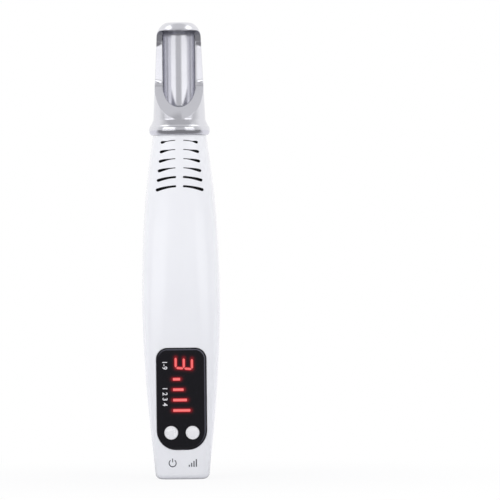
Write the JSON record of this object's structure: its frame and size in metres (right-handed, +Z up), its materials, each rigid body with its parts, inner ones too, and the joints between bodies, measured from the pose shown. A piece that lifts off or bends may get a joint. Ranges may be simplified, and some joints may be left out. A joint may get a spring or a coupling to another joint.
{
  "type": "picosecond laser pen",
  "caption": "Slim handheld laser pen: tapered white two-shell housing, plated focus head with a sight window, vents, black display panel, buttons and a back trigger.",
  "frame": {"origin": "centre of the base end face, on the seam between the two shells", "axes": "+Z runs up the pen from the base to its tip, -Y is the side with the display and buttons, +X is to the right of someone who looks at the display"},
  "size_m": [0.0334, 0.0299, 0.195],
  "materials": {
    "white_gloss_abs": "glossy white moulded ABS",
    "satin_chrome_plating": "bright plating, softly polished",
    "black_gloss_panel": "glossy black moulded panel",
    "silver_key": "silver paint on moulded keys",
    "red_light_guide": "red moulding, lit from behind",
    "black_plastic": "matt black moulding",
    "circuit_board": "green solder mask on glass fibre",
    "steel": "bright zinc-plated steel",
    "brass": "turned brass",
    "aluminium": "plain extruded aluminium",
    "copper_wire": "enamelled copper winding",
    "ferrite": "dull dark grey ferrite",
    "lens_glass": "coated clear glass",
    "red_sleeve": "red insulation",
    "black_sleeve": "black insulation",
    "white_insulator": "off-white insulation"
  },
  "bodies": {
    "pen": {"front_housing": "white_gloss_abs", "rear_housing": "white_gloss_abs", "focus_head": "satin_chrome_plating", "emitter_bezel": "satin_chrome_plating", "display_panel": "black_gloss_panel", "digit_light_guide": "red_light_guide", "level_light_guide": "red_light_guide", "display_module": "black_plastic", "driver_chip": "black_plastic", "trigger_switch_case": "black_plastic", "dc_jack_body": "black_plastic", "fan_frame": "black_plastic", "display_board": "circuit_board", "main_board": "circuit_board", "left_switch_case": "steel", "right_switch_case": "steel", "lens_nozzle": "steel", "housing_screw_1": "steel", "housing_screw_2": "steel", "housing_screw_3": "steel", "housing_screw_4": "steel", "board_screw_1": "steel", "board_screw_2": "steel", "display_screw_1": "steel", "display_screw_2": "steel", "dc_jack_pin": "brass", "dc_jack_spring": "brass", "laser_barrel": "brass", "laser_diode": "brass", "heat_sink": "aluminium", "inductor_winding": "copper_wire", "fan_stator": "copper_wire", "inductor_core": "ferrite", "collimating_lens": "lens_glass", "laser_lead_1": "red_sleeve", "power_lead_1": "red_sleeve", "laser_lead_2": "black_sleeve", "power_lead_2": "black_sleeve", "fan_lead": "black_sleeve", "capacitor": "black_sleeve", "laser_socket": "white_insulator", "display_ribbon": "white_insulator"},
    "left_button": {"left_button": "silver_key", "left_switch_plunger": "black_plastic"},
    "right_button": {"right_button": "silver_key", "right_switch_plunger": "black_plastic"},
    "trigger": {"trigger_button": "silver_key", "trigger_switch_plunger": "black_plastic"},
    "fan_rotor": {"fan_rotor": "black_plastic", "fan_shaft": "steel"}
  },
  "joints": [
    {"name": "left_button_press", "type": "slide", "parent": "pen", "child": "left_button", "axis": [0, 0.9973, 0.0733], "range_m": [0, 0.00035], "stiffness_N_per_m": 3000},
    {"name": "right_button_press", "type": "slide", "parent": "pen", "child": "right_button", "axis": [0, 0.9973, 0.0733], "range_m": [0, 0.00035], "stiffness_N_per_m": 3000},
    {"name": "trigger_press", "type": "slide", "parent": "pen", "child": "trigger", "axis": [0, -1, 0], "range_m": [0, 0.0005], "stiffness_N_per_m": 4000},
    {"name": "fan_spin", "type": "hinge", "parent": "pen", "child": "fan_rotor", "pos_m": [0, 0, 0.1055], "axis": [0, 0, 1], "continuous": true}
  ]
}
